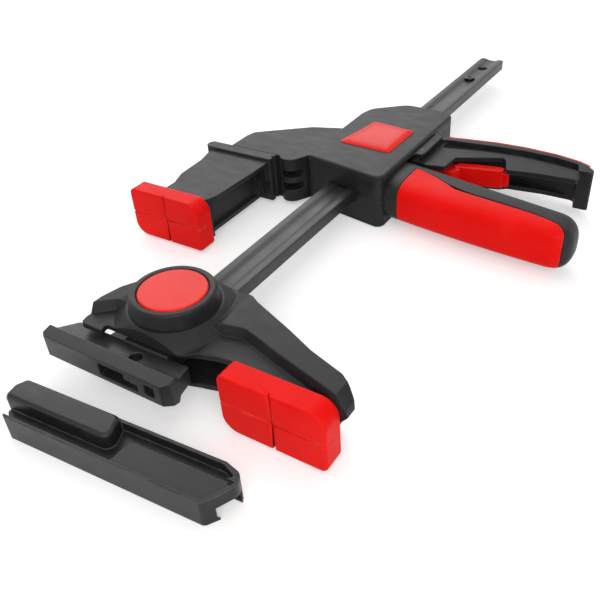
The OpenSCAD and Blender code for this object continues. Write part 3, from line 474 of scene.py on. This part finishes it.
# Head
softened("head_upper_shell", "head", "black_plastic", charcoal, 0.25)
softened("head_lower_shell", "head", "black_plastic", charcoal, 0.25)
softened("knob_ring", "head", "black_plastic", charcoal, 0.35)
softened("swivel_button", "button", "red_plastic", redCap, 0.35)


# Soft pad: a block with two full and two small corners, carved by a cross of grooves
pad = {"wide": 54.2, "high": 31.6, "thick": 12, "lower": 0.6, "fullCorner": 8.5, "smallCorner": 3.3,
       "channel": 1.3, "channelDeep": 1.9, "line": 0.9, "lineDeep": 1.1, "notch": 0.9, "notchLong": 5.5,
       "soft": 1.7, "channelShare": 1, "lineShare": 0.18, "rimShare": 0.6}


# The pad's block, at x, with its back face at y = back
def padShape(x, back):
    halfWide, halfHigh, halfLine = pad["wide"] / 2, pad["high"] / 2, pad["line"] / 2
    halfChannel, front, z = pad["channel"] / 2, back - pad["thick"], midZ - pad["lower"]
    shape = boxBetween((x - halfWide, front, z - halfHigh), (x + halfWide, back, z + halfHigh))
    for corner, sign, steps in (("fullCorner", 1, 12), ("smallCorner", -1, 7)):
        upright = []
        for edge in shape.edges:
            run = edge.verts[1].co - edge.verts[0].co
            middle = (edge.verts[0].co + edge.verts[1].co) / 2
            alongY = abs(run.y) > (pad["thick"] - 1) * mm
            if alongY and (middle.x - x * mm) * (middle.z - z * mm) * sign > 1e-5:
                upright.append(edge)
        bevelEdges(shape, upright, pad[corner], steps)
    ahead, far = front - 5, 40  # cutters reach past the pad by these
    shape = carve(shape, boxBetween((x - halfChannel, ahead, z - far),
                                    (x + halfChannel, front + pad["channelDeep"], z + far)))
    shape = carve(shape, boxBetween((x - far, ahead, z - halfLine),
                                    (x + far, front + pad["lineDeep"], z + halfLine)))
    for side in (-1, 1):
        low, high = sorted((x + side * (halfWide - pad["notch"]), x + side * far))
        shape = carve(shape, boxBetween((low, ahead, z - halfLine),
                                        (high, front + pad["notchLong"], z + halfLine)))
    weights = shape.edges.layers.float.new("bevel_weight_edge")
    near = 0.01
    for edge in shape.edges:
        points = [v.co / mm for v in edge.verts]
        onChannel = all(abs(abs(p.x - x) - halfChannel) < near for p in points)
        onLine = all(abs(abs(p.z - z) - halfLine) < near for p in points)
        if all(abs(p.y - front) < near for p in points):
            share = "channelShare" if onChannel else "lineShare" if onLine else "rimShare"
            edge[weights] = pad[share]
        elif all(abs(p.y - back) < near for p in points):
            edge[weights] = pad["rimShare"]
        elif onLine and all(abs(abs(p.x - x) - halfWide) < near for p in points):
            edge[weights] = pad["lineShare"]
    return shape


def placePad(node, body, x, back):
    place({"name": node + ".looks", "nodes": [node], "body": body, "slot": "red_rubber", "material": redGrip,
           "edge": pad["soft"], "steps": 5, "weighted": True}, padShape(x, back))


placePad("near_pad", "head", 75.4, -19.2)
print("head done")

# Carriage
softened("body_upper_shell", "carriage", "black_plastic", charcoal, 0.3)
softened("body_lower_shell", "carriage", "black_plastic", charcoal, 0.3)
softened("top_cover", "carriage", "black_plastic", charcoal, 0.6)
softened("bottom_cover", "carriage", "black_plastic", charcoal, 0.6)

# Bare badge plate, crowned a little: each step's share of the last face, and its rise
badge = {"name": "badge.looks", "nodes": ["badge"], "body": "carriage", "slot": "red_plastic",
         "material": redGloss, "edge": 0.12,
         "crown": [(0.95, 0.24), (0.92, 0.2), (0.88, 0.16), (0.8, 0.1), (0.6, 0.05)]}
badgeShape = mergedCopy("badge")
badgeShape.normal_update()
top = max((face for face in badgeShape.faces if face.normal.z > 0.9), key=lambda face: face.calc_area())
toMiddle = Matrix.Translation(-top.calc_center_bounds())
for share, up in badge["crown"]:
    top = bmesh.ops.extrude_discrete_faces(badgeShape, faces=[top])["faces"][0]
    bmesh.ops.scale(badgeShape, verts=top.verts, vec=(share, share, 1), space=toMiddle)
    bmesh.ops.translate(badgeShape, verts=top.verts, vec=(0, 0, up * mm))
place(badge, badgeShape)
softened("pad_extension", "carriage", "black_plastic", charcoal, 0.45)
placePad("far_pad", "carriage", -79.6, 92)
print("carriage done")

# Handle: one lofted form, split along the grip's edge. Lengths along it run from the root as u
handle = {"root": 30.5, "carriage": 155, "length": 116.5, "height": 27, "end": 15, "power": 2.8,
          "squareness": 3.4, "frontEdge": (3, -0.176, 0.0007), "backEdge": (43, -0.222), "grip": 3,
          "gripFrom": 9.5, "gripTo": 111.8, "evenTo": 101.5}
gripLine = [(0, 31.6), (5.5, 31.2), (13.7, 29.2), (24, 24.7), (37.7, 17.6), (52, 13.2), (70.5, 10.4),
            (88.8, 6.9), (103, 2.6), (109, -0.8), (112, -5.5), (114, -12)]


# Height of a smooth curve through points, at u
def alongCurve(points, u):
    for i in range(1, len(points) - 2):
        if u <= points[i + 1][0] or i == len(points) - 3:
            before, start, stop, after = points[i - 1:i + 3]
            span = stop[0] - start[0]
            t = (u - start[0]) / span
            slopeIn = (stop[1] - before[1]) / (stop[0] - before[0]) * span
            slopeOut = (after[1] - start[1]) / (after[0] - start[0]) * span
            return ((2 * t ** 3 - 3 * t ** 2 + 1) * start[1] + (t ** 3 - 2 * t ** 2 + t) * slopeIn
                    + (3 * t ** 2 - 2 * t ** 3) * stop[1] + (t ** 3 - t ** 2) * slopeOut)


# Middle, half depth and half height of the section at u, which closes in a round over the end
def handleSection(u, inset):
    (front, frontSlope, frontBow), (back, backSlope) = handle["frontEdge"], handle["backEdge"]
    front = front + frontSlope * u + frontBow * u * u
    back = back + backSlope * u
    t = min(1, max(0, (u - handle["length"] + handle["end"]) / (handle["end"] - inset)))
    least = 0.02
    share = max(least, (1 - t ** handle["power"]) ** (1 / handle["power"])) if t < 1 else least
    return (front + back) / 2, share * ((back - front) / 2 - inset), share * (handle["height"] / 2 - inset)


def handlePoint(u, turn, inset):
    middle, depth, height = handleSection(u, inset)
    across, up = math.cos(turn), math.sin(turn)
    power = 2 / handle["squareness"]
    y = middle + depth * math.copysign(abs(across) ** power, across)
    z = height * math.copysign(abs(up) ** power, up)
    return Vector((handle["root"] + u, handle["carriage"] + y, midZ + z)) * mm


# Turn at which the grip's edge crosses the section
def gripTurn(u):
    middle, depth, _ = handleSection(u, 0)
    share = (alongCurve(gripLine, max(0.1, u)) - middle) / depth
    share = max(-1, min(1, share))
    return math.acos(math.copysign(abs(share) ** (handle["squareness"] / 2), share))


def spread(low, high, count):
    return [low + (high - low) * i / count for i in range(count + 1)]


endStations = [handle["length"] - handle["end"] + handle["end"] * math.sin(math.radians(angle))
               for angle in range(6, 90, 6)]
middleStations = spread(handle["gripFrom"], handle["evenTo"], 44)
gripStations = middleStations + [u for u in endStations if u < handle["gripTo"]] + [handle["gripTo"]]

grip = {"name": "handle_grip.looks", "nodes": ["handle_grip"], "body": "carriage", "slot": "red_rubber",
        "material": redGrip, "wall": 2.5, "edge": 0.5, "from": 42, "seam": 0.012}
gripShape = bmesh.new()
gripRows = []
for u in gripStations:
    border = gripTurn(u) + grip["seam"]
    gripRows.append([handlePoint(u, turn, 0) for turn in spread(border, math.tau - border, 56)])
skin(gripShape, gripRows, False)
bmesh.ops.remove_doubles(gripShape, verts=gripShape.verts, dist=0.02 * mm)
place(grip, gripShape)

core = {"name": "handle_core.looks", "nodes": ["handle_core"], "body": "carriage", "slot": "black_plastic",
        "material": charcoal, "edge": 0.4, "from": 42}


# The core's section at u, which lies this deep where the grip covers it
def coreRow(u, depth):
    border = gripTurn(max(u, handle["gripFrom"])) if u < handle["gripTo"] else math.pi
    outside = [handlePoint(u, turn, 0) for turn in spread(-border, border, 40)]
    inside = [handlePoint(u, turn, depth) for turn in spread(border, math.tau - border, 40)]
    return outside + inside


coreShape = bmesh.new()
coreRows = [coreRow(u, 0) for u in (-0.5, 2, 4, 6, 8, handle["gripFrom"] - 0.2)]
coreRows += [coreRow(u, handle["grip"]) for u in gripStations]
coreRows += [coreRow(u, 0) for u in endStations if u > handle["gripTo"]]
coreRows.append(coreRow(handle["length"], 0))
coreEnds = skin(coreShape, coreRows, True)
for ending in (coreEnds[0], coreEnds[-1]):
    bmesh.ops.edgeloop_fill(coreShape, edges=ending)
bmesh.ops.remove_doubles(coreShape, verts=coreShape.verts, dist=0.02 * mm)
place(core, coreShape)
print("handle done")

# Levers and clip strip
softened("squeeze_lever", "lever", "black_plastic", charcoal, 0.15)

# Soft facing on the lever's back, thick enough to show past the rim
facing = {"name": "lever_strip.looks", "nodes": ["lever_strip"], "body": "lever", "slot": "red_rubber",
          "material": redGrip, "edge": 0.25, "proud": 0.7, "taller": 1.05}
facingShape = mergedCopy("lever_strip")
facingShape.normal_update()
outer = {v for face in facingShape.faces if face.normal.y > 0.6 for v in face.verts}
for v in facingShape.verts:
    v.co.z += facing["taller"] * mm * math.copysign(1, v.co.z - midZ * mm)
    if v in outer:
        v.co.y += facing["proud"] * mm
place(facing, facingShape)
softened("release_lever", "release", "red_plastic", redGrip, 0.1)
softened("clip_strip", "strip", "black_plastic", stripPlastic, 0.15)
print("levers and strip done")

# Springs, each a copy of its CAD coil on its body, with its joint, axis, fixed end and kept share listed
springs = [{"node": "button_spring", "body": "head", "joint": "button_press", "axis": (0, 0, 1),
            "fixed": (0, 0, 33.1), "keep": 0.495},
           {"node": "drive_spring", "body": "carriage", "joint": "drive_feed", "axis": (0, 1, 0),
            "fixed": (0, 237, midZ), "keep": 0.805},
           {"node": "brake_spring", "body": "carriage", "joint": "brake_tilt", "axis": (0, 1, 0),
            "fixed": (6, 201, 9.2), "keep": 0.79}]
for spring in springs:
    coil = place({"name": spring["node"] + ".looks", "nodes": [spring["node"]], "body": spring["body"],
                  "slot": "bright_steel", "material": brightSteel}, mergedCopy(spring["node"]))
    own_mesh(coil)
print("springs done")

# Floor, world and lamps

# Gives 1 for rays from the camera, straight or by way of gloss or glass, and else 0
def seenByEye(tree):
    rays = addNode(tree, "ShaderNodeLightPath")
    glossy = addMath(tree, "MAXIMUM", rays.outputs["Is Camera Ray"], rays.outputs["Is Glossy Ray"])
    return addMath(tree, "MAXIMUM", glossy, rays.outputs["Is Transmission Ray"])


paper = {"size": 4, "at": (0.1, 0.2, -0.0002), "tones": ((0.8, 0.8, 0.795), (0.83, 0.83, 0.825)),
         "glowFrom": (0.5, 0.4), "glowTo": (2.5, 0.68)}  # distance from the middle, and glow there
floorShape = bmesh.new()
bmesh.ops.create_grid(floorShape, x_segments=8, y_segments=8, size=paper["size"])
floorMesh = bpy.data.meshes.new("floor")
floorShape.to_mesh(floorMesh)
floorShape.free()
floor = bpy.data.objects.new("floor", floorMesh)
floor.location = paper["at"]
scene.collection.objects.link(floor)

floorPaint, tree, shader = startMaterial("palePaper")
floorPoint = addNode(tree, "ShaderNodeTexCoord")
mottle = addNoise(tree, floorPoint.outputs["Object"], 9, 3)
tree.links.new(addBlend(tree, mottle, *paper["tones"]), shader.inputs["Base Color"])
shader.inputs["Roughness"].default_value = 0.9
shader.inputs["Specular IOR Level"].default_value = 0.1
reach = addNode(tree, "ShaderNodeVectorMath", operation="LENGTH")
tree.links.new(floorPoint.outputs["Object"], reach.inputs[0])
(near, nearGlow), (far, farGlow) = paper["glowFrom"], paper["glowTo"]
paleness = addRange(tree, reach.outputs["Value"], near, far, nearGlow, farGlow)
glow = addNode(tree, "ShaderNodeEmission")
tree.links.new(addMath(tree, "MULTIPLY", seenByEye(tree), paleness), glow.inputs["Strength"])
lit = addNode(tree, "ShaderNodeAddShader")
tree.links.new(shader.outputs[0], lit.inputs[0])
tree.links.new(glow.outputs[0], lit.inputs[1])
tree.links.new(lit.outputs[0], tree.nodes["Material Output"].inputs["Surface"])
floorMesh.materials.append(floorPaint)

roomLight = 0.42  # what the white room gives the object; the camera sees it at 1
world = bpy.data.worlds.new("studio")
scene.world = world
world.use_nodes = True
tree = world.node_tree
room = tree.nodes["Background"]
room.inputs["Color"].default_value = (1, 1, 1, 1)
tree.links.new(addRange(tree, seenByEye(tree), 0, 1, roomLight, 1), room.inputs["Strength"])


lamps = [{"name": "backSoftbox", "size": (1.6, 1), "energy": 11.5, "at": (-1.05, 1.15, 1.05),
          "towards": (0.03, 0.12, 0)},
         {"name": "overhead", "size": (1.4, 1.2), "energy": 4.5, "at": (-0.1, 0.3, 1.4),
          "towards": (0.03, 0.12, 0)},
         {"name": "frontFill", "size": (1.2, 0.9), "energy": 10.5, "at": (0.75, -0.85, 0.75),
          "towards": (0.03, 0.1, 0)}]
for spec in lamps:
    light = bpy.data.lights.new(spec["name"], "AREA")
    light.shape = "RECTANGLE"
    light.size, light.size_y = spec["size"]
    light.energy = spec["energy"]
    lamp = bpy.data.objects.new(spec["name"], light)
    lamp.location = spec["at"]
    aim = Vector(spec["towards"]) - Vector(spec["at"])
    lamp.rotation_euler = aim.to_track_quat("-Z", "Y").to_euler()
    scene.collection.objects.link(lamp)
scene.view_settings.view_transform = "Standard"
print("floor, world and lamps done")
